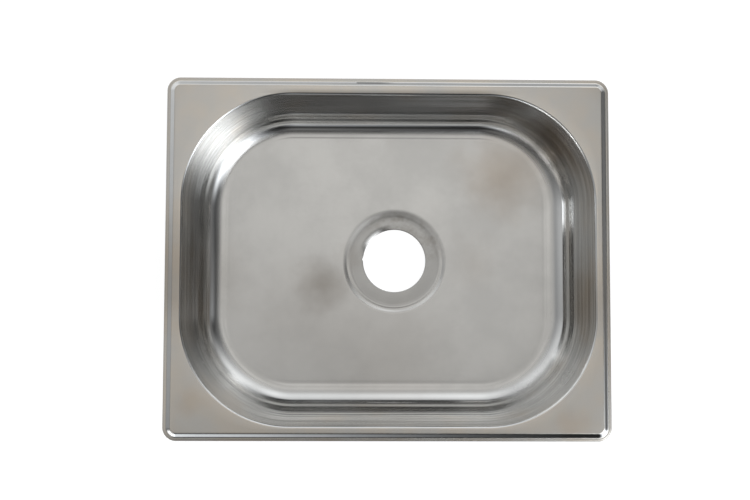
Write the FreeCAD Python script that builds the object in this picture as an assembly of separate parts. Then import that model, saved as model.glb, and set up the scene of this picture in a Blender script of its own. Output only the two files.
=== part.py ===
import FreeCAD, Part
import math
import os

from FreeCAD import Vector

os.makedirs("parts", exist_ok=True)

# A small inset sink bowl, deep-drawn from one stainless sheet, with the soft seal that lies
# under its rim. The origin is the middle of the rim's seat on the worktop. +X runs along the
# long side, +Y across it and +Z up. Lengths are in millimetres, and angles in radians.

# The whole bowl
rim_length = 325.0
rim_width = 265.0
bowl_depth = 65.0  # from the rim's top to the underside of the floor
sheet = 0.8

# The rim, from its raw edge inwards: a ledge that sits on the worktop, a step up, and the
# flat flange, whose width here is that of the straight sides
rim_corner_radius = 10.0
ledge_width = 2.0
step_run = 4.3
step_height = 2.0
flange_flat = 3.4

# The basin: the bend at its mouth, the leaning wall and the wide bend into the floor
mouth_bend = 1.5
mouth_corner_radius = 79.0
wall_lean = 11.1  # how far a wall comes in between the flange's level and the floor's
floor_bend = 16.0

# The waste: a hole in a shallow dish, the shelf round it that a waste fitting sits on, and
# the slope from the shelf up to the floor
waste_x = 6.6
waste_y = 1.5
hole_radius = 24.5
lip_length = 0.9  # of the hole's upright edge
lip_run = 5.5
lip_drop = 0.8
shelf_width = 4.4
recess_run = 7.0
recess_depth = 1.0

# Shares: how much of a step's largest bends are used, at its foot and at its head, the part
# of the flat flange that the swept sections carry, and how far the seal fills its channel
step_bend_shares = (0.14, 0.62)
recess_bend_share = 0.6
carried_share = 0.25
seal_top_share = 0.8
seal_foot_share = 0.6

# Levels, and distances inwards from the rim's edge on the straight sides
rim_top = step_height + sheet
basin_depth = bowl_depth - sheet
floor_level = rim_top - basin_depth
shelf_level = floor_level - recess_depth
carried_flat = carried_share * flange_flat
wall_angle = math.atan2(wall_lean, basin_depth)
half_turn_of_bends = math.radians(45) - wall_angle / 2
mouth_reach = mouth_bend * math.tan(half_turn_of_bends)
floor_reach = floor_bend * math.tan(half_turn_of_bends)
flange_inset = ledge_width + step_run
mouth_inset = flange_inset + flange_flat + mouth_reach
foot_inset = mouth_inset + wall_lean

UP = Vector(0, 0, 1)
ORIGIN = Vector(0, 0, 0)


def outline(inset, radius, level):
    """A rounded rectangle that lies inside the rim's edge by the inset."""
    x = rim_length / 2 - inset - radius
    y = rim_width / 2 - inset - radius
    arcs = []
    for quarter, centre in enumerate([(x, y), (-x, y), (-x, -y), (x, -y)]):
        circle = Part.Circle(Vector(*centre, level), UP, radius)
        start = math.radians(90 * quarter)
        arcs.append(Part.Arc(circle, start, start + math.radians(90)).toShape())
    edges = []
    for arc, following in zip(arcs, arcs[1:] + arcs[:1]):
        edges.append(arc)
        edges.append(Part.makeLine(arc.Vertexes[-1].Point, following.Vertexes[0].Point))
    return Part.Wire(edges)


def plate(outside, inside, lower_level):
    """A flat piece of the sheet between two outlines."""
    whole = Part.Face(Part.Wire(outside)).extrude(UP * sheet)
    return whole.cut(Part.Face(Part.Wire(inside)).extrude(UP * sheet))


def across(start_x, end_x, level):
    """A level line of a section."""
    return Part.makeLine(Vector(start_x, 0, level), Vector(end_x, 0, level))


def bend(x, level, radius, start, end):
    """An arc of a section about a centre, between two directions from it."""
    points = []
    for direction in (start, (start + end) / 2, end):
        reach = Vector(math.cos(direction), 0, math.sin(direction)) * radius
        points.append(Vector(x, 0, level) + reach)
    return Part.Arc(*points).toShape()


def joined(first, last):
    """The straight line between two bends."""
    return Part.makeLine(first.Vertexes[-1].Point, last.Vertexes[0].Point)


def smooth_step(x, level, run, rise, foot_share, head_share):
    """A bend up, a slope that touches both bends, and a bend back to level. A foot of 0 is a crease."""
    largest = (run * run + rise * rise) / (2 * rise)
    foot_bend = foot_share * largest
    head_bend = head_share * largest
    bends = foot_bend + head_bend
    slope = math.atan2(run, bends - rise) - math.acos(bends / math.hypot(run, bends - rise))
    down = math.radians(-90)
    over = math.radians(90)
    head = bend(x + run, level + rise - head_bend, head_bend, over + slope, over)
    if foot_share == 0:
        return [Part.makeLine(Vector(x, 0, level), head.Vertexes[0].Point), head]
    foot = bend(x, level + foot_bend, foot_bend, down, down + slope)
    return [foot, joined(foot, head), head]


def section(upper_face):
    """The cut face of the sheet below its upper face, whose line is drawn outwards."""
    return Part.Wire(upper_face).makeOffset2D(-sheet, join=2, fill=True, openResult=True)


def swept(face, inset, radius):
    """Sweep a section round an outline. The section's own axis is that of the corners."""
    x = rim_length / 2 - inset - radius
    y = rim_width / 2 - inset - radius
    centres = [Vector(x, y, 0), Vector(-x, y, 0), Vector(-x, -y, 0), Vector(x, -y, 0)]
    pieces = []
    for quarter, centre in enumerate(centres):
        following = centres[(quarter + 1) % len(centres)]
        corner = face.copy()
        corner.rotate(ORIGIN, UP, 90 * quarter)
        corner.translate(centre)
        side = corner.copy()
        side.rotate(centre, UP, 90)
        pieces.append(corner.revolve(centre, UP, 90))
        pieces.append(side.extrude(following - centre))
    return pieces[0].fuse(pieces[1:]).removeSplitter()


def stepped_rim():
    """The ledge, the step and the outside of the flange."""
    step_x = ledge_width - rim_corner_radius
    flange_x = step_x + step_run
    line = [across(-rim_corner_radius, step_x, sheet)]
    line += smooth_step(step_x, sheet, step_run, step_height, *step_bend_shares)
    line.append(across(flange_x, flange_x + carried_flat, rim_top))
    face = section(line)
    face.rotate(ORIGIN, UP, 180)
    return swept(face, 0, rim_corner_radius)


def flange():
    """The flat plate between the step and the basin's mouth, wide at its corners."""
    lower_level = rim_top - sheet
    outer_inset = flange_inset + carried_flat
    outside = outline(outer_inset, rim_corner_radius - outer_inset, lower_level)
    mouth = mouth_reach + carried_flat
    inside = outline(mouth_inset - mouth, mouth_corner_radius + mouth, lower_level)
    return plate(outside, inside, lower_level)


def wall_line(skin):
    """The line of one face of the sheet, from the floor up the wall and over onto the flange."""
    floor_x = mouth_corner_radius - wall_lean - floor_reach
    flange_x = mouth_corner_radius + mouth_reach
    to_wall = math.radians(180) - wall_angle
    foot_centre = floor_level + floor_bend
    foot = bend(floor_x, foot_centre, floor_bend + skin, math.radians(-90), -wall_angle)
    head = bend(flange_x, rim_top - mouth_bend, mouth_bend - skin, to_wall, math.radians(90))
    return [
        across(floor_x - carried_flat, floor_x, floor_level - skin),
        foot,
        joined(foot, head),
        head,
        across(flange_x, flange_x + carried_flat, rim_top - skin),
    ]


def basin_wall():
    """The bend at the mouth, the leaning wall and the bend into the floor."""
    inside = wall_line(0)
    outside = wall_line(sheet)
    # The tight inner side of the mouth's bend is a straight slope, out of sight under the rim
    head = outside[3]
    outside[3] = Part.makeLine(head.Vertexes[0].Point, head.Vertexes[-1].Point)
    ends = [
        Part.makeLine(inside[0].Vertexes[0].Point, outside[0].Vertexes[0].Point),
        Part.makeLine(inside[-1].Vertexes[-1].Point, outside[-1].Vertexes[-1].Point),
    ]
    ring = Part.Wire(Part.__sortEdges__(inside + outside + ends))
    return swept(Part.Face(ring), mouth_inset, mouth_corner_radius)


def floor():
    """The flat floor round the recess."""
    lower_level = floor_level - sheet
    gap = floor_reach + carried_flat
    outside = outline(foot_inset + gap, mouth_corner_radius - wall_lean - gap, lower_level)
    recess_radius = hole_radius + lip_run + shelf_width + recess_run + carried_flat
    inside = Part.makeCircle(recess_radius, Vector(waste_x, waste_y, lower_level))
    return plate(outside, inside, lower_level)


def waste_recess():
    """The dish of the hole, the shelf round it and the slope up to the floor."""
    lip_x = hole_radius + lip_run
    shelf_x = lip_x + shelf_width
    recess_x = shelf_x + recess_run
    lip_top = Vector(hole_radius, 0, shelf_level - lip_drop)
    line = [Part.makeLine(lip_top - UP * lip_length, lip_top)]
    line.append(Part.makeLine(lip_top, Vector(lip_x, 0, shelf_level)))
    line.append(across(lip_x, shelf_x, shelf_level))
    line += smooth_step(shelf_x, shelf_level, recess_run, recess_depth, 0, recess_bend_share)
    line.append(across(recess_x, recess_x + carried_flat, floor_level))
    recess = section(line).revolve(ORIGIN, UP, 360)
    recess.translate(Vector(waste_x, waste_y, 0))
    return recess


def bowl():
    """The whole pressing, one sheet from the rim's raw edge to the lip of the hole."""
    pieces = [flange(), basin_wall(), floor(), waste_recess()]
    return stepped_rim().fuse(pieces).removeSplitter()


def rim_seal():
    """The bead of seal in the channel under the flange, pressed flat at the rim's seat."""
    seal_top = rim_top - sheet
    skin = sheet / math.cos(wall_angle)
    wall_at_top = mouth_inset + sheet * math.tan(wall_angle) - skin
    wall_at_seat = mouth_inset + rim_top * math.tan(wall_angle) - skin
    bend_at_top = wall_at_top - (mouth_bend - sheet) * math.tan(half_turn_of_bends)
    middle = (flange_inset + bend_at_top) / 2
    half_top = seal_top_share * (bend_at_top - flange_inset) / 2
    half_foot = seal_foot_share * (wall_at_seat - ledge_width) / 2
    foot_shift = middle - (ledge_width + wall_at_seat) / 2
    centre_x = rim_corner_radius
    corners = [
        Vector(centre_x + foot_shift - half_foot, 0, 0),
        Vector(centre_x + foot_shift + half_foot, 0, 0),
        Vector(centre_x + half_top, 0, seal_top),
        Vector(centre_x - half_top, 0, seal_top),
    ]
    bead = Part.Face(Part.makePolygon(corners + corners[:1]))
    return swept(bead, middle, rim_corner_radius)


parts = {"bowl": bowl(), "rim_seal": rim_seal()}
for name, shape in parts.items():
    print(name, len(shape.Solids), "solid, valid", shape.isValid(), "volume", round(shape.Volume))
    shape.Solids[0].exportStep("parts/" + name + ".step")
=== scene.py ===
import math

import bpy
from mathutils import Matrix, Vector


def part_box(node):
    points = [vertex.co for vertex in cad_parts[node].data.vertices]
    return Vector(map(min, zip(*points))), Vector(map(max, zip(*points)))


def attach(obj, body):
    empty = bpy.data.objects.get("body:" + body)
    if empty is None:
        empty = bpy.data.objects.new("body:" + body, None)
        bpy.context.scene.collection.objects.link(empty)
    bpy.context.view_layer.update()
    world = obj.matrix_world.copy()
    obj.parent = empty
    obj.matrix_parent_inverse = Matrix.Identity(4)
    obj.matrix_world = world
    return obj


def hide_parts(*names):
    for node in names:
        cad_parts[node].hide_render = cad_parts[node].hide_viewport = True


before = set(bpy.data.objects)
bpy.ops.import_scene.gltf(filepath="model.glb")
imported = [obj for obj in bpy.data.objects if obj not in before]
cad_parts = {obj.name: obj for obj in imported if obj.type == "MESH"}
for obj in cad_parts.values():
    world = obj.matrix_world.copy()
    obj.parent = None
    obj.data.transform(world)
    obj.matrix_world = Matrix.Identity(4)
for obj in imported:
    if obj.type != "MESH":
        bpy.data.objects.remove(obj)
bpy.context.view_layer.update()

# A small stainless inset sink bowl with its rim seal, seen from above in soft studio light.
# Lengths are in metres. The bowl is one closed mesh of the pressed sheet: loops that follow
# its section from the rim's raw edge to the lip of the hole and back along the underside.

# Sizes of the pressing. The overall ones come from the bowl's part in model.glb.
bowl_low, bowl_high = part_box("bowl")
rim_length = bowl_high.x - bowl_low.x
rim_width = bowl_high.y - bowl_low.y
rim_top = bowl_high.z
underside = bowl_low.z
sheet = 0.0008
rim_corner_radius = 0.010
ledge_width = 0.002
ledge_droop = 0.0002
step_run = 0.0043
flange_flat = 0.0034
mouth_bend = 0.002
mouth_corner_radius = 0.079
wall_lean = 0.01068
floor_bend = 0.016
basin_depth = 0.0642

# Shares of the largest bends that fit in the rim's step, at its foot and at its head
step_bend_shares = (0.4, 0.4)

# How far the mouth and the floor lie off the middle of the rim, and how much further in the
# mouth lies than the flat flange's width gives
mouth_shift = Vector((0.0006, -0.0008))
floor_shift = Vector((0.0004, 0.0004))
mouth_set_in = 0.00028

# How much further back the far side of the floor reaches, how far before the middle of the
# bowl's width that starts (as a share of its half), and how fast it grows towards the floor
reach_back = 0.0024
reach_back_lead = 0.2
reach_back_power = 8

# The ripples down the wall: length, height and start of each
ripples = ((0.0125, 0.00005, 0.004), (0.0071, 0.000025, 0.001), (0.0043, 0.000012, 0.002))

# The crease round the floor. It dips on its inner side, and fades in the corners.
crease_rise = 0.00016
crease_width = 0.0016
crease_dip = 0.00004
crease_shift = 0.0008
crease_end = 0.0048
corner_fade = 0.85
corner_fade_speed = 1.2

# The hole: its middle, its rounded edges, and the nick on its left side
waste_x = 0.0066
waste_y = 0.0015
hole_radius = 0.0245
hole_edge = 0.00038
nick_direction = math.radians(177)
nick_depth = 0.0009
nick_width = 0.0011
nick_reach = 0.0054

# The dish round the hole. It has its full drop on one side, and a small share of it elsewhere.
dish_radius = 0.0292
dish_power = 1.5
dish_drop = 0.0008
dish_least_share = 0.1
dish_direction = math.radians(133)
dish_spread = math.radians(30)
dish_fade = math.radians(34)

# The recess: the start, run and drop of its two low steps, and its groove. The near side is
# crisp. Elsewhere the groove fades out and the steps' runs are longer.
recess_radius = 0.0417
recess_steps = ((0.0412, 0.0033, 0.00075), (0.0365, 0.0025, 0.00025))
groove_radius = 0.0376
groove_depth = 0.00011
groove_width = 0.0008
crisp_direction = math.radians(278)
crisp_swing = 0.75
soft_stretch = 2.2

# What follows from them
step_height = rim_top - sheet
floor_level = rim_top - basin_depth
wall_angle = math.atan2(wall_lean - mouth_set_in, basin_depth)
half_turn = math.radians(45) - wall_angle / 2
mouth_reach = mouth_bend * math.tan(half_turn)
floor_reach = floor_bend * math.tan(half_turn)
mouth_inset = ledge_width + step_run + flange_flat + mouth_reach + mouth_set_in
foot_inset = mouth_inset + wall_lean - mouth_set_in
floor_inset = foot_inset + floor_reach
floor_corner_radius = mouth_corner_radius + mouth_inset - floor_inset

# How finely the mesh follows the outline, the bends and the stretches between them
corner_steps = 36
long_side_steps = 20
short_side_steps = 12
ledge_steps = 5
step_bend_steps = 8
flange_loops = 3
mouth_steps = 12
wall_steps = 72
floor_bend_steps = 24
crease_steps = 9
floor_loops = 14
recess_loops = 44
hole_edge_steps = 3
raw_edge_steps = 6


def arc(centre, radius, start, end, steps):
    """Points on an arc of a section or an outline, both ends included."""
    points = []
    for step in range(steps + 1):
        angle = math.radians(start + (end - start) * step / steps)
        points.append((centre[0] + radius * math.cos(angle), centre[1] + radius * math.sin(angle)))
    return points


def between(first, last, count):
    """Evenly spaced points between two, without the two."""
    points = []
    for step in range(1, count + 1):
        share = step / (count + 1)
        points.append(tuple(a + (b - a) * share for a, b in zip(first, last)))
    return points


def clamped(value):
    return min(max(value, 0), 1)


def eased(value):
    """A smooth change from 0 to 1 while the value goes from 0 to 1."""
    value = clamped(value)
    return value * value * (3 - 2 * value)


def bell(distance, width):
    """1 at no distance, falling off smoothly on both sides."""
    return math.exp(-((distance / width) ** 2))


def smooth_step(foot_point, run, rise, shares, steps):
    """Points of a bend up, a slope and a bend back to level."""
    largest = (run * run + rise * rise) / (2 * rise)
    foot, head = (share * largest for share in shares)
    bends = foot + head
    slope = math.atan2(run, bends - rise) - math.acos(bends / math.hypot(run, bends - rise))
    turn = math.degrees(slope)
    x, level = foot_point
    lower = arc((x, level + foot), foot, -90, -90 + turn, steps)
    upper = arc((x + run, level + rise - head), head, 90 + turn, 90, steps)
    return lower + upper


# The section of the upper face in three stretches, from the rim's edge to the hole


def rim_section():
    """(inset, level) from the drooping ledge over the step to the start of the flange."""
    start = (sheet / 2, sheet)
    step_foot = (ledge_width, sheet)
    ledge = []
    for inset, level in [start] + between(start, step_foot, ledge_steps):
        out = (ledge_width - inset) / ledge_width
        ledge.append((inset, level - ledge_droop * out * out))
    return ledge + smooth_step(step_foot, step_run, step_height, step_bend_shares, step_bend_steps)


def basin_section():
    """(inset, level) from the flange over the mouth's bend, down the wall and onto the floor."""
    lean = math.degrees(wall_angle)
    head_centre = (mouth_inset - mouth_reach, rim_top - mouth_bend)
    head = arc(head_centre, mouth_bend, 90, lean, mouth_steps)
    foot_centre = (floor_inset, floor_level + floor_bend)
    foot = arc(foot_centre, floor_bend, 180 + lean, 270, floor_bend_steps)
    flat_start = (floor_inset + crease_end, floor_level)
    section = head + between(head[-1], foot[0], wall_steps) + foot
    section += between(foot[-1], flat_start, crease_steps) + [flat_start]
    return [rippled(inset, level) for inset, level in section]


def rippled(inset, level):
    """Adds the faint ripples that the press leaves down the wall."""
    depth = rim_top - level
    down = clamped((depth - mouth_bend) / (basin_depth - mouth_bend - floor_bend))
    fade = math.sqrt(math.sin(math.pi * down)) if 0 < down < 1 else 0
    for length, height, start in ripples:
        inset += height * fade * math.cos(2 * math.pi * (depth - start) / length)
    return inset, level


def crease(inset):
    """How far the sheet rises at the crease round the floor."""
    out = floor_inset + crease_shift - inset
    rise = crease_rise * eased(out / crease_width + 0.5)
    return rise - crease_dip * bell(out + crease_width, crease_width)


def straightness(point, inset, radius):
    """1 beside a straight side of the basin, and less in the middle of a corner."""
    past_x = abs(point.x) - (rim_length / 2 - inset - radius)
    past_y = abs(point.y) - (rim_width / 2 - inset - radius)
    if min(past_x, past_y) <= 0:
        return 1
    into_corner = math.sin(2 * math.atan2(past_y, past_x))
    return 1 - corner_fade * eased(corner_fade_speed * into_corner)


def recess_level(radius, direction):
    """The upper face's level near the hole: two low steps, a groove, and a lopsided dish."""
    crisp = eased(0.5 + crisp_swing * math.cos(direction - crisp_direction))
    stretch = soft_stretch + (1 - soft_stretch) * crisp
    level = floor_level
    for start, run, drop in recess_steps:
        level -= drop * eased((start - radius) / (run * stretch))
    level -= crisp * groove_depth * bell(radius - groove_radius, groove_width)
    down = clamped((dish_radius - radius) / (dish_radius - hole_radius))
    turned = abs(math.remainder(direction - dish_direction, 2 * math.pi))
    full = eased((dish_spread - turned) / dish_fade + 0.5)
    share = dish_least_share + (1 - dish_least_share) * full
    return level - dish_drop * share * down ** dish_power


def other_face(points, offset):
    """The same stretch on a face that lies the offset below."""
    moved = []
    for index, (x, level) in enumerate(points):
        before = points[max(index - 1, 0)]
        after = points[min(index + 1, len(points) - 1)]
        along = Vector((after[0] - before[0], after[1] - before[1])).normalized()
        moved.append((x + along.y * offset, level - along.x * offset))
    return moved


# Loops of points round the bowl. All have as many points, so that any two can be joined.


def outline(inset, radius, level):
    """A rounded rectangle that lies inside the rim's edge by the inset."""
    x = rim_length / 2 - inset - radius
    y = rim_width / 2 - inset - radius
    corners = [(x, y), (-x, y), (-x, -y), (x, -y)]
    arcs = []
    for quarter, centre in enumerate(corners):
        arcs.append(arc(centre, radius, 90 * quarter, 90 * quarter + 90, corner_steps))
    loop = []
    for quarter, corner in enumerate(arcs):
        following = arcs[(quarter + 1) % len(arcs)]
        steps = short_side_steps if quarter % 2 else long_side_steps
        loop += corner + between(corner[-1], following[0], steps - 1)
    return [Vector((px, py, level)) for px, py in loop]


def rim_loop(inset, level):
    return outline(inset, rim_corner_radius - inset, level)


def basin_loop(inset, level):
    """A loop of the basin, which lies a little off the middle of the rim."""
    low = clamped((rim_top - level) / basin_depth)
    shift = mouth_shift.lerp(floor_shift, low).to_3d()
    radius = mouth_corner_radius + mouth_inset - inset
    points = []
    for point in outline(inset, radius, level):
        back = eased(point.y / (rim_width / 2) + reach_back_lead)
        rise = crease(inset) * low * low * straightness(point, inset, radius)
        reach = Vector((0, reach_back * back * low ** reach_back_power, rise))
        points.append(point + shift + reach)
    return points


def recess_loop(radius, depth):
    """A circle round the hole, below the upper face, that also follows the nick in its edge."""
    middle = Vector((waste_x, waste_y, 0))
    points = []
    for guide in outline(floor_inset, floor_corner_radius, 0):
        towards = (guide - middle).normalized()
        direction = math.atan2(towards.y, towards.x)
        off_nick = (direction - nick_direction) * hole_radius
        near_edge = eased((dish_radius - radius) / nick_reach)
        nicked = nick_depth * bell(off_nick, nick_width) * near_edge
        level = recess_level(radius, direction) - depth
        points.append(middle + towards * (radius + nicked) + Vector((0, 0, level)))
    return points


def blended(first, last, count):
    """Loops between two, without the two."""
    loops = []
    for step in range(1, count + 1):
        loops.append([a.lerp(b, step / (count + 1)) for a, b in zip(first, last)])
    return loops


def face_loops(offset):
    """One face of the sheet, from the rim's edge to the hole."""
    rim = [rim_loop(*point) for point in other_face(rim_section(), offset)]
    basin = [basin_loop(*point) for point in other_face(basin_section(), offset)]
    start, end = (recess_radius,), (hole_radius + hole_edge,)
    radii = [start] + between(start, end, recess_loops) + [end]
    recess = [recess_loop(radius, offset) for (radius,) in radii]
    flange = blended(rim[-1], basin[0], flange_loops)
    floor = blended(basin[-1], recess[0], floor_loops)
    return rim + flange + basin + floor + recess


def bowl_loops():
    """Every loop in order, round the closed section of the sheet."""
    half = sheet / 2
    upper = face_loops(0)
    lower = face_loops(sheet)
    rounding = arc((hole_radius + hole_edge, -hole_edge), hole_edge, 90, 180, hole_edge_steps)[1:]
    hole = [recess_loop(radius, -level) for radius, level in rounding]
    hole += [recess_loop(radius, sheet + level) for radius, level in rounding[::-1]]
    edge = [rim_loop(*point) for point in arc((half, half), half, 270, 90, raw_edge_steps)[1:-1]]
    return upper + hole + lower[::-1] + edge


def closed_mesh(name, loops):
    """Faces between each loop and the next, and from the last back to the first."""
    count = len(loops[0])
    faces = []
    for row in range(len(loops)):
        below = (row + 1) % len(loops)
        for step in range(count):
            beside = (step + 1) % count
            corners = (row, step), (row, beside), (below, beside), (below, step)
            faces.append([loop * count + place for loop, place in corners])
    mesh = bpy.data.meshes.new(name)
    mesh.from_pydata([point for loop in loops for point in loop], [], faces)
    mesh.shade_smooth()
    return mesh


# Materials

# Noise on the steel: its scale, detail and roughness. That of the draw lines is also squeezed
# in height, and that of the patches' edges shifts them by up to half its reach.
cloud_noise = (24, 4, 0.55)
grain_noise = (1100, 2, 0.6)
line_noise = (1, 3, 0.55)
line_squeeze = (9, 9, 420)
fray_noise = (40, 3, 0.5)
fray_reach = (0.03, 0.03, 0)
mottle_noise = (170, 5, 0.6)

# Limits between which something changes: how far the surface faces up for the flat, the tilted
# and the steep parts, how far it faces slantwise for the corners, how far it faces away from
# the bowl's middle for the outside, and the height at which the wall becomes the flange
flat_limits = (0.9, 0.999)
tilted_limits = (0.96, 0.999)
steep_limits = (0.3, 0.8)
corner_limits = (0.12, 0.42)
outside_limits = (-0.02, 0.02)
flange_limits = (-0.004, 0)

# Limits of a noise, and what it changes from the one to the other: the shade of the clouds and
# the grain, the depth of the draw lines, the stains, the gloss, and the flange's colour
cloud_limits = (0.3, 0.7)
cloud_shades = (0.975, 1.045)
cloud_roughness = (0.02, -0.02)
grain_limits = (0.2, 0.8)
grain_shades = (0.985, 1.015)
line_limits = (0.38, 0.62)
line_depths = (0.21, -0.03)
mottle_limits = (0.38, 0.72)
mottle_depths = (0, 0.15)
wall_stain_limits = (0.45, 0.7)
wall_stain_browns = (0, 0.12)
flange_cloud_limits = (0.35, 0.65)

# Colours of the steel, and what brown takes from each channel
flange_grey = (0.6, 0.58, 0.54)
flange_brown = (0.61, 0.56, 0.49)
floor_grey = (0.6, 0.588, 0.56)
wall_grey = (0.57, 0.57, 0.562)
brown_change = (0, -0.4, -0.8)

# Gloss and fine relief of the steel: in the corners the gloss is rougher and drawn out, and on
# the outside of the walls the draw lines are weaker
wall_roughness = 0.13
level_roughness = 0.22
corner_added_roughness = 0.13
corner_anisotropy = 0.9
outside_lines = 0.4
grain_relief = 0.01
relief_depth = 0.000035

# Darker patches: stains on the flange, spots on the floor, and painted shade on the walls.
# For each: x, y, z, how far it reaches, how much darker its middle is, how brown
dark_patches_and_painted_shade = {
    "patch_by_the_hole": (-0.05, -0.016, floor_level, 0.03, 0.28, 0.2),
    "left_of_the_hole": (-0.025, 0.004, floor_level, 0.016, 0.1, 0.3),
    "trail": (-0.066, -0.04, floor_level, 0.06, 0.08, 0.3),
    "lower_cloud": (0.0, -0.075, floor_level, 0.075, 0.1, 0.3),
    "right_patch": (0.068, 0.002, floor_level, 0.03, 0.08, 0.4),
    "upper_right": (0.093, 0.07, floor_level, 0.05, 0.16, 1.0),
    # Painted shade: the next three patches darken parts of the walls
    "painted_shade_left_side": (-0.15, -0.01, -0.02, 0.07, 0.37, 0.3),
    "painted_shade_right_side": (0.146, -0.03, -0.02, 0.045, 0.28, 0.8),
    "painted_shade_far_right_corner": (0.126, 0.09, -0.03, 0.038, 0.44, 0.35),
    "flange_near_left": (-0.143, -0.102, rim_top, 0.016, 0.05, 1.6),
    "flange_near_right": (0.132, -0.116, rim_top, 0.022, 0.04, 1.4),
}

# The mottled side of the recess, and the painted shade on the shelf round the hole
stain_side = (0.45, 0.89, 0)
stain_side_fade = 0.03
stain_reach = 0.043
stain_fade = 0.008
stain_brownness = 0.3
shelf_reach = 0.0372
shelf_fade = 0.003
shelf_painted_shade_depth = 0.25

# The painted dark reflection along the rim's far edge, and the painted shade on the band between
# it and the mouth
streak_y = 0.1291
streak_core = 0.0002
streak_width = 0.001
streak_painted_darkness = 0.6
streak_start = -0.0245
streak_start_fade = 0.002
streak_end = 0.0075
streak_end_fade = 0.015
band_start = 0.1212
band_start_fade = 0.001
band_end = 0.1255
band_half_length = 0.1
band_end_fade = 0.04
band_painted_shade_depth = 0.42

# The seal: the noise of its bloom and its pores, and what they change
bloom_noise = (60, 5, 0.6)
pore_noise = (900, 3, 0.6)
seal_limits = (0.35, 0.7)
seal_colours = ((0.03, 0.03, 0.032), (0.05, 0.05, 0.053))
seal_roughness_limits = (0.3, 0.7)
seal_roughness = (0.62, 0.78)
pore_strength = 0.4
pore_depth = 0.0001


class Nodes:
    """A short way to write a node tree."""

    def __init__(self, tree):
        self.tree = tree

    def feed(self, node, inputs):
        """Links or sets the given inputs of a node."""
        for socket, value in inputs.items():
            if isinstance(value, bpy.types.NodeSocket):
                self.tree.links.new(value, node.inputs[socket])
            else:
                node.inputs[socket].default_value = value

    def add(self, kind, inputs=None, **settings):
        node = self.tree.nodes.new(kind)
        for name, value in settings.items():
            setattr(node, name, value)
        self.feed(node, inputs or {})
        return node

    def math(self, operation, *values):
        return self.add("ShaderNodeMath", dict(enumerate(values)), operation=operation).outputs[0]

    def times(self, first, second):
        return self.math("MULTIPLY", first, second)

    def plus(self, first, second):
        return self.math("ADD", first, second)

    def vector(self, operation, *values, output="Vector"):
        node = self.add("ShaderNodeVectorMath", dict(enumerate(values)), operation=operation)
        return node.outputs[output]

    def measure(self, operation, *values):
        """A number that follows from vectors, such as their distance."""
        return self.vector(operation, *values, output="Value")

    def parts(self, vector):
        return self.add("ShaderNodeSeparateXYZ", {0: vector}).outputs

    def noise(self, place, scale, detail, roughness, output="Fac"):
        inputs = {"Vector": place, "Scale": scale, "Detail": detail, "Roughness": roughness}
        return self.add("ShaderNodeTexNoise", inputs).outputs[output]

    def grey(self, value):
        return self.add("ShaderNodeCombineXYZ", {0: value, 1: value, 2: value}).outputs[0]

    def colour_between(self, share, first, last):
        ends = [end + (1,) if isinstance(end, tuple) else end for end in (first, last)]
        inputs = {0: share, 6: ends[0], 7: ends[1]}
        return self.add("ShaderNodeMix", inputs, data_type="RGBA").outputs[2]

    def ramp(self, value, low, high, to_low, to_high):
        spread = {"Value": value, 1: low, 2: high, 3: to_low, 4: to_high}
        return self.add("ShaderNodeMapRange", spread, interpolation_type="SMOOTHSTEP").outputs[0]


def new_material(name):
    """A material, its node tree in short writing, and its shader."""
    material = bpy.data.materials.new(name)
    material.use_nodes = True
    tree = material.node_tree
    return material, Nodes(tree), tree.nodes["Principled BSDF"]


def drag_marks(nodes, facing, upright):
    """Where a corner's wall is, and the way up it, in which the tools have dragged the sheet."""
    along_rim = nodes.vector("CROSS_PRODUCT", facing, (0, 0, 1))
    up_the_wall = nodes.vector("NORMALIZE", nodes.vector("CROSS_PRODUCT", along_rim, facing))
    sideways = nodes.vector("NORMALIZE", nodes.vector("MULTIPLY", facing, (1, 1, 0)))
    side_x, side_y, _ = nodes.parts(sideways)
    slanting = nodes.math("ABSOLUTE", nodes.times(side_x, side_y))
    tilted = nodes.ramp(upright, *tilted_limits, 1, 0)
    corner = nodes.times(nodes.ramp(slanting, *corner_limits, 0, 1), tilted)
    return corner, up_the_wall


def patches(nodes, place):
    """How much darker and how brown the patches are, with frayed edges; on the walls the darkening
    is painted shade.
    """
    fray = nodes.vector("SUBTRACT", nodes.noise(place, *fray_noise, "Color"), (0.5, 0.5, 0.5))
    frayed = nodes.vector("MULTIPLY_ADD", fray, fray_reach, place)
    darkening_and_painted_shade = 0.0
    browned = 0.0
    for patch_x, patch_y, patch_z, reach, strength, brownness in dark_patches_and_painted_shade.values():
        gap = nodes.measure("DISTANCE", frayed, (patch_x, patch_y, patch_z))
        spot = nodes.ramp(gap, 0, reach, strength, 0)
        darkening_and_painted_shade = nodes.plus(spot, darkening_and_painted_shade)
        browned = nodes.math("MULTIPLY_ADD", spot, brownness, browned)
    return darkening_and_painted_shade, browned


def recess_stains_and_painted_shade(nodes, place):
    """The mottled stains on the far side of the recess, and the painted shade on its shelf."""
    off_axis = nodes.vector("SUBTRACT", place, (waste_x, waste_y, 0))
    round_hole = nodes.vector("MULTIPLY", off_axis, (1, 1, 0))
    from_axis = nodes.measure("LENGTH", round_hole)
    towards_stain = nodes.measure("DOT_PRODUCT", round_hole, stain_side)
    stained = nodes.ramp(from_axis, stain_reach - stain_fade, stain_reach, 1, 0)
    stained = nodes.times(stained, nodes.ramp(towards_stain, 0, stain_side_fade, 0, 1))
    mottling = nodes.ramp(nodes.noise(place, *mottle_noise), *mottle_limits, *mottle_depths)
    # Painted shade: the shelf inside the recess is darkened
    painted_shelf_shade = nodes.ramp(from_axis, shelf_reach - shelf_fade, shelf_reach, shelf_painted_shade_depth, 0)
    return nodes.times(stained, mottling), painted_shelf_shade


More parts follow.
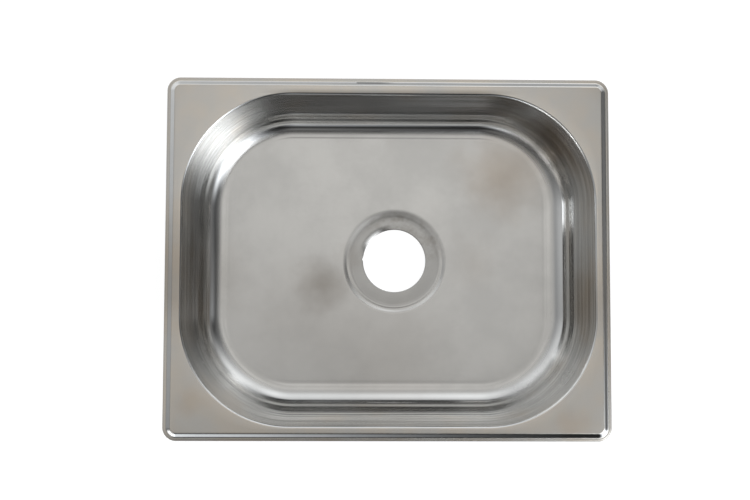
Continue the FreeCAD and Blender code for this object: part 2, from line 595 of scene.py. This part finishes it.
def painted_far_edge_darkening(nodes, along, across):
    """The painted dark reflection as a streak on the rim's far edge, and the painted shade on the
    band beside it.
    """
    off_streak = nodes.math("ABSOLUTE", nodes.math("SUBTRACT", across, streak_y))
    # Painted reflection: a thin dark streak on the flat flange
    painted_dark_streak = nodes.ramp(off_streak, streak_core, streak_width, streak_painted_darkness, 0)
    start_end = streak_start + streak_start_fade
    painted_dark_streak = nodes.times(painted_dark_streak, nodes.ramp(along, streak_start, start_end, 0, 1))
    painted_dark_streak = nodes.times(painted_dark_streak, nodes.ramp(along, streak_end - streak_end_fade, streak_end, 1, 0))
    off_middle = nodes.math("ABSOLUTE", along)
    # Painted shade: the far flange darkens towards the mouth
    painted_band_shade = nodes.ramp(across, band_start, band_end, band_painted_shade_depth, 0)
    band_end_start = band_half_length - band_end_fade
    painted_band_shade = nodes.times(painted_band_shade, nodes.ramp(off_middle, band_end_start, band_half_length, 1, 0))
    painted_band_shade = nodes.times(painted_band_shade, nodes.ramp(across, band_start - band_start_fade, band_start, 0, 1))
    return painted_dark_streak, painted_band_shade


def steel():
    """Satin stainless sheet with the clouds, draw lines and stains that a pressing has, and
    painted shade in its colour.
    """
    material, nodes, shader = new_material("satin_steel")
    place = nodes.add("ShaderNodeTexCoord").outputs["Object"]
    facing = nodes.add("ShaderNodeNewGeometry").outputs["Normal"]
    along, across, height = nodes.parts(place)
    upright = nodes.parts(facing)["Z"]
    flat = nodes.ramp(upright, *flat_limits, 0, 1)
    steep = nodes.ramp(upright, *steep_limits, 1, 0)
    corner, up_the_wall = drag_marks(nodes, facing, upright)

    # Soft clouds everywhere, fine grain, and lines drawn round the walls at one height
    cloud = nodes.noise(place, *cloud_noise)
    grain = nodes.noise(place, *grain_noise)
    lines = nodes.noise(nodes.vector("MULTIPLY", place, line_squeeze), *line_noise)
    outward = nodes.measure("DOT_PRODUCT", place, facing)
    drawn = nodes.times(steep, nodes.ramp(outward, *outside_limits, 1, outside_lines))

    # What darkens the sheet: stains, painted shade and a painted dark reflection; and what makes
    # it brown
    darkening_and_painted_shade, browned = patches(nodes, place)
    mottled, painted_shelf_shade = recess_stains_and_painted_shade(nodes, place)
    painted_dark_streak, painted_band_shade = painted_far_edge_darkening(nodes, along, across)
    darkening_and_painted_shade = nodes.plus(painted_dark_streak, nodes.plus(painted_shelf_shade, nodes.plus(mottled, darkening_and_painted_shade)))
    browned = nodes.math("MULTIPLY_ADD", mottled, stain_brownness, browned)
    wall_stain = nodes.ramp(cloud, *wall_stain_limits, *wall_stain_browns)
    browned = nodes.plus(nodes.times(steep, wall_stain), browned)

    # Colour: a warm grey, cleaner on the walls, darker in the clouds, lines, stains and painted
    # shade
    shade = nodes.ramp(cloud, *cloud_limits, *cloud_shades)
    shade = nodes.times(shade, nodes.math("SUBTRACT", 1.0, darkening_and_painted_shade))
    shade = nodes.times(shade, nodes.math("SUBTRACT", 1.0, painted_band_shade))
    lined = nodes.times(drawn, nodes.ramp(lines, *line_limits, *line_depths))
    shade = nodes.math("SUBTRACT", shade, lined)
    shade = nodes.times(shade, nodes.ramp(grain, *grain_limits, *grain_shades))
    flange_cloud = nodes.ramp(cloud, *flange_cloud_limits, 0, 1)
    flange = nodes.colour_between(flange_cloud, flange_grey, flange_brown)
    on_rim = nodes.ramp(height, *flange_limits, 0, 1)
    level_sheet = nodes.colour_between(on_rim, floor_grey, flange)
    warm = nodes.colour_between(flat, wall_grey, level_sheet)
    brown = nodes.vector("MULTIPLY", nodes.grey(browned), brown_change)
    stain = nodes.vector("ADD", nodes.grey(shade), brown)

    rough = nodes.ramp(flat, 0, 1, wall_roughness, level_roughness)
    rough = nodes.plus(rough, nodes.ramp(cloud, *cloud_limits, *cloud_roughness))
    rough = nodes.math("MULTIPLY_ADD", corner, corner_added_roughness, rough)

    # Fine relief: the grain of the sheet, and the draw lines on the walls
    relief = nodes.math("MULTIPLY_ADD", grain, grain_relief, nodes.times(lines, drawn))
    bump = nodes.add("ShaderNodeBump", {"Strength": 1, "Distance": relief_depth, "Height": relief})

    look = {
        "Metallic": 1,
        "Base Color": nodes.vector("MULTIPLY", warm, stain),
        "Roughness": rough,
        "Anisotropic": nodes.times(corner, corner_anisotropy),
        "Tangent": up_the_wall,
        "Normal": bump.outputs[0],
    }
    nodes.feed(shader, look)
    return material


def seal_material():
    """Dark matt seal with a fine bloom on its surface."""
    material, nodes, shader = new_material("seal_rubber")
    place = nodes.add("ShaderNodeTexCoord").outputs["Object"]
    bloom = nodes.noise(place, *bloom_noise)
    pores = {"Strength": pore_strength, "Distance": pore_depth}
    pores["Height"] = nodes.noise(place, *pore_noise)
    look = {
        "Base Color": nodes.colour_between(nodes.ramp(bloom, *seal_limits, 0, 1), *seal_colours),
        "Roughness": nodes.ramp(bloom, *seal_roughness_limits, *seal_roughness),
        "Normal": nodes.add("ShaderNodeBump", pores).outputs[0],
    }
    nodes.feed(shader, look)
    return material


def link(thing):
    bpy.context.scene.collection.objects.link(thing)
    return thing


# The pieces

bowl = link(bpy.data.objects.new("bowl_sheet", closed_mesh("bowl_sheet", bowl_loops())))
bowl.data.materials.append(steel())
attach(bowl, "root")
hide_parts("bowl")

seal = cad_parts["rim_seal"]
seal.material_slots[0].material = seal_material()


# The studio's floor, camera and light

floor_size = 6.0
floor_colour = (0.3, 0.3, 0.3, 1)
floor_glow = 0.85
white = (1, 1, 1, 1)

camera_lens = 52.8
camera_place = (-0.0242, -0.0465, 0.8015)
camera_turn = (3.740, -1.052, 0.181)  # in degrees

# The light by direction: how high it stands and which way, in degrees from +X towards +Y, how
# sharp its edge is, its strength, and its colour. The first ten began in another program's
# fit to the photo's brightness, and most still stand where it put them. The rest were placed
# or moved far one by one.
daylight = (0.985, 1.0, 1.015)
cool_light = (0.965, 1.0, 1.045)
lamplight = (1.0, 1.0, 1.0)
soft_lights = {
    "window_wall": (15, 136, 3.5, 1.42, daylight),
    "tall_window": (38, 67, 11, 1.4, daylight),
    "side_window": (21, 42, 25, 1.32, daylight),
    "back_window": (44, 122, 45, 0.65, daylight),
    "key_low": (22, 320, 30, 6.2, cool_light),
    "key_high": (54, 320, 50, 6.0, cool_light),
    "key_right": (30, 337, 33, 3.0, cool_light),
    "overhead_right": (80, 2, 42, 0.6, lamplight),
    "overhead_left": (73, 193, 31, 0.515, lamplight),
    "overhead_back": (78, 95, 45, 0.58, lamplight),
    "far_lamp": (4, 216, 60, 8.0, lamplight),
    "far_window": (4, 238, 60, 8.0, lamplight),
    "front_window": (14, 257, 40, 1.2, cool_light),
    "front_strip": (9, 253, 150, 3.0, cool_light),
    "front_lamp": (52, 258, 45, 0.24, lamplight),
    "right_lamp": (14, 4, 26, 0.24, lamplight),
    "high_right_lamp": (56, 0, 30, 0.12, lamplight),
}
room_level = 0.02
faint_end = 0.03  # what lies below this share of a light's strength is cut off


def floor_material():
    """White where it is seen, with the bowl's soft shadow on it."""
    material = bpy.data.materials.new("studio_floor")
    material.use_nodes = True
    nodes = Nodes(material.node_tree)
    nodes.tree.nodes.clear()
    path = nodes.add("ShaderNodeLightPath").outputs
    seen = nodes.math("MAXIMUM", path["Is Camera Ray"], path["Is Transmission Ray"])
    seen = nodes.math("MAXIMUM", path["Is Glossy Ray"], seen)
    diffuse = nodes.add("ShaderNodeBsdfDiffuse", {"Color": floor_colour})
    emission = nodes.add("ShaderNodeEmission", {"Strength": nodes.times(seen, floor_glow)})
    both = nodes.add("ShaderNodeAddShader", {0: diffuse.outputs[0], 1: emission.outputs[0]})
    nodes.add("ShaderNodeOutputMaterial", {"Surface": both.outputs[0]})
    return material


def studio_floor():
    mesh = bpy.data.meshes.new("studio_floor")
    half = floor_size / 2
    corners = [(x * half, y * half, underside) for x, y in ((-1, -1), (1, -1), (1, 1), (-1, 1))]
    mesh.from_pydata(corners, [], [(0, 1, 2, 3)])
    mesh.materials.append(floor_material())
    link(bpy.data.objects.new("studio_floor", mesh))


def studio_camera():
    data = bpy.data.cameras.new("camera")
    data.lens = camera_lens
    camera = link(bpy.data.objects.new("camera", data))
    camera.location = camera_place
    camera.rotation_euler = [math.radians(turn) for turn in camera_turn]
    bpy.context.scene.camera = camera


def studio_world():
    """Soft light from the lamps and windows round the table, and white where it is seen."""
    world = bpy.data.worlds.new("studio")
    bpy.context.scene.world = world
    world.use_nodes = True
    nodes = Nodes(world.node_tree)
    nodes.tree.nodes.clear()
    direction = nodes.add("ShaderNodeTexCoord").outputs["Generated"]
    total = (room_level, room_level, room_level)
    for height, bearing, sharpness, strength, tint in soft_lights.values():
        up, round_about = math.radians(height), math.radians(bearing)
        level = math.cos(up)
        towards = (level * math.cos(round_about), level * math.sin(round_about), math.sin(up))
        facing = nodes.measure("DOT_PRODUCT", direction, towards)
        spread = nodes.math("MULTIPLY_ADD", facing, sharpness, -sharpness)
        glow = nodes.math("SUBTRACT", nodes.math("EXPONENT", spread), faint_end)
        glow = nodes.grey(nodes.math("MAXIMUM", glow, 0))
        total = nodes.vector("MULTIPLY_ADD", glow, tuple(strength * part for part in tint), total)
    lit = nodes.add("ShaderNodeBackground", {"Color": total}).outputs[0]
    seen = nodes.add("ShaderNodeBackground", {"Color": white}).outputs[0]
    by_camera = nodes.add("ShaderNodeLightPath").outputs["Is Camera Ray"]
    shown = nodes.add("ShaderNodeMixShader", {0: by_camera, 1: lit, 2: seen})
    nodes.add("ShaderNodeOutputWorld", {"Surface": shown.outputs[0]})


studio_floor()
studio_camera()
studio_world()
bpy.context.scene.view_settings.view_transform = "Standard"
